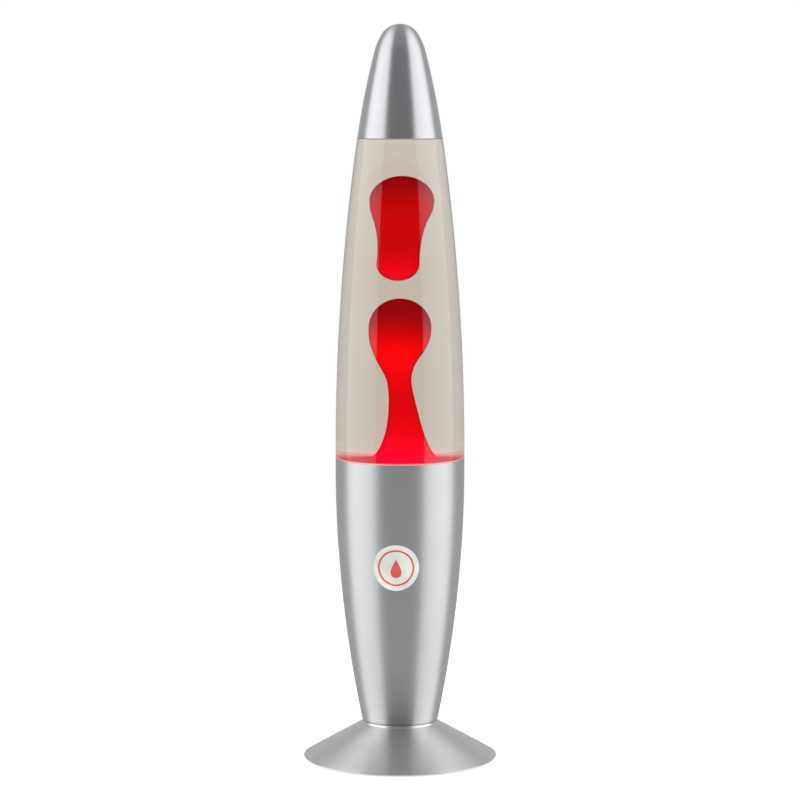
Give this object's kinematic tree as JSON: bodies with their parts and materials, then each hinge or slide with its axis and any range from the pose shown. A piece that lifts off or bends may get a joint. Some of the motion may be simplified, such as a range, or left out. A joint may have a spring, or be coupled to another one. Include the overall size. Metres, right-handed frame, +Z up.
{
  "type": "lava lamp",
  "caption": "Rocket-shaped lava lamp: spun aluminium foot, base and cap around a sealed glass globe of clear liquid and red wax, lit by a small reflector bulb.",
  "frame": {"origin": "centre of the face that the lamp stands on, on its axis of revolution", "axes": "+Z up along the lamp's axis, +Y towards the cord inlet at the back, -Y towards the round label on the front"},
  "size_m": [0.1082, 0.1082, 0.41],
  "materials": {
    "spun_aluminium": "satin, spun and brushed",
    "zinc_steel": "zinc plated",
    "pressed_steel": "pressed sheet",
    "brass": "plain",
    "black_plastic": "moulded",
    "ivory_plastic": "moulded",
    "foam": "closed-cell foam",
    "brown_sheath": "extruded",
    "blue_sheath": "extruded",
    "label_film": "printed film",
    "globe_glass": "clear blown glass",
    "crown_lacquer": "lacquered tinplate",
    "liner": "soft seal",
    "liquid": "clear, faintly warm fluid",
    "wax": "melted coloured wax",
    "solder": "solder",
    "nickel_brass": "nickel-plated brass",
    "bulb_glass": "reflector-coated bulb glass",
    "bulb_insulator": "dark glass insulator",
    "tungsten": "coiled wire"
  },
  "bodies": {
    "base": {"foam_pad": "foam", "base_plate": "black_plastic", "foot": "spun_aluminium", "lower_washer": "zinc_steel", "lower_tube_nut": "brass", "threaded_tube": "zinc_steel", "base_shell": "spun_aluminium", "upper_washer": "zinc_steel", "upper_tube_nut": "brass", "lampholder_dome": "black_plastic", "lampholder_skirt": "black_plastic", "lampholder_core": "ivory_plastic", "lampholder_thread_shell": "brass", "lampholder_contact": "brass", "lampholder_terminals": "brass", "lampholder_screws": "zinc_steel", "live_lead": "brown_sheath", "neutral_lead": "blue_sheath", "terminal_block": "ivory_plastic", "terminal_block_screws": "zinc_steel", "seat_ring": "pressed_steel", "cord_gland": "black_plastic", "round_label": "label_film"},
    "globe": {"globe_glass": "globe_glass", "crown_cap": "crown_lacquer", "crown_liner": "liner", "liquid": "liquid", "wax_column": "wax", "wire_coil": "zinc_steel"},
    "cap": {"top_cap": "spun_aluminium"},
    "free_wax": {"wax_blob": "wax"},
    "bulb_carriage": {"bulb_tip_contact": "solder"},
    "bulb": {"bulb_glass": "bulb_glass", "bulb_screw_cap": "nickel_brass", "bulb_insulator": "bulb_insulator", "bulb_stem": "bulb_glass", "bulb_filament": "tungsten", "bulb_lead_wires": "zinc_steel"}
  },
  "joints": [
    {"name": "globe_lift", "type": "slide", "parent": "base", "child": "globe", "axis": [0, 0, 1], "range_m": [0, 0.08]},
    {"name": "cap_lift", "type": "slide", "parent": "globe", "child": "cap", "axis": [0, 0, 1], "range_m": [0, 0.045]},
    {"name": "wax_blob_rise", "type": "slide", "parent": "globe", "child": "free_wax", "axis": [0, 0, 1], "range_m": [-0.008, 0.02]},
    {"name": "bulb_rise", "type": "slide", "parent": "base", "child": "bulb_carriage", "axis": [0, 0, 1], "range_m": [0, 0.0113]},
    {"name": "bulb_turn", "type": "hinge", "parent": "bulb_carriage", "child": "bulb", "pos_m": [0, 0, 0.05], "axis": [0, 0, 1], "range_deg": [0, 1440]}
  ],
  "couplings": [
    {"joint": "bulb_rise", "follows": "bulb_turn", "m_per_rad": 0.00044882}
  ]
}
